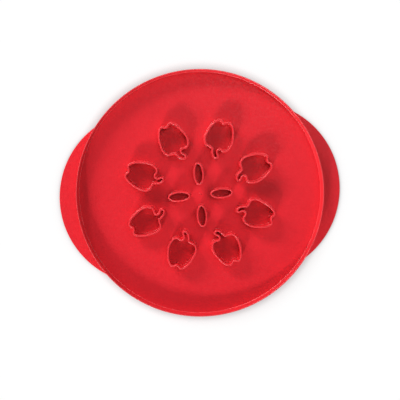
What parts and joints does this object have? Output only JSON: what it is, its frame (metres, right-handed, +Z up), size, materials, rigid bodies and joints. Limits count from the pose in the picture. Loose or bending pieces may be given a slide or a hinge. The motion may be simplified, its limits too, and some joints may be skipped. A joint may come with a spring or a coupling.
{
  "type": "pie top cutter",
  "caption": "Shallow round dish with two crescent grips, an outer cutting rim, a ring of apple-shaped cutters and a cross of seed-shaped cutters, for stamping a pie's top crust.",
  "frame": {"origin": "centre of the flat underside, which is also the bottom centre of the bounding box", "axes": "+X along the two grips, the longest extent; +Z up out of the open dish, the shortest extent; the cutting edges face +Z"},
  "size_m": [0.292, 0.254, 0.013],
  "materials": {
    "textured_plastic": "fine matte moulded texture",
    "smooth_plastic": "satin, smooth from the mould"
  },
  "bodies": {
    "root": {"floor_plate": "textured_plastic", "grip_left": "textured_plastic", "grip_right": "textured_plastic", "outer_rim": "smooth_plastic", "apple_cutter_1": "smooth_plastic", "apple_cutter_2": "smooth_plastic", "apple_cutter_3": "smooth_plastic", "apple_cutter_4": "smooth_plastic", "apple_cutter_5": "smooth_plastic", "apple_cutter_6": "smooth_plastic", "apple_cutter_7": "smooth_plastic", "apple_cutter_8": "smooth_plastic", "seed_cutter_1": "smooth_plastic", "seed_cutter_2": "smooth_plastic", "seed_cutter_3": "smooth_plastic", "seed_cutter_4": "smooth_plastic", "gate_nub": "smooth_plastic"}
  },
  "joints": []
}
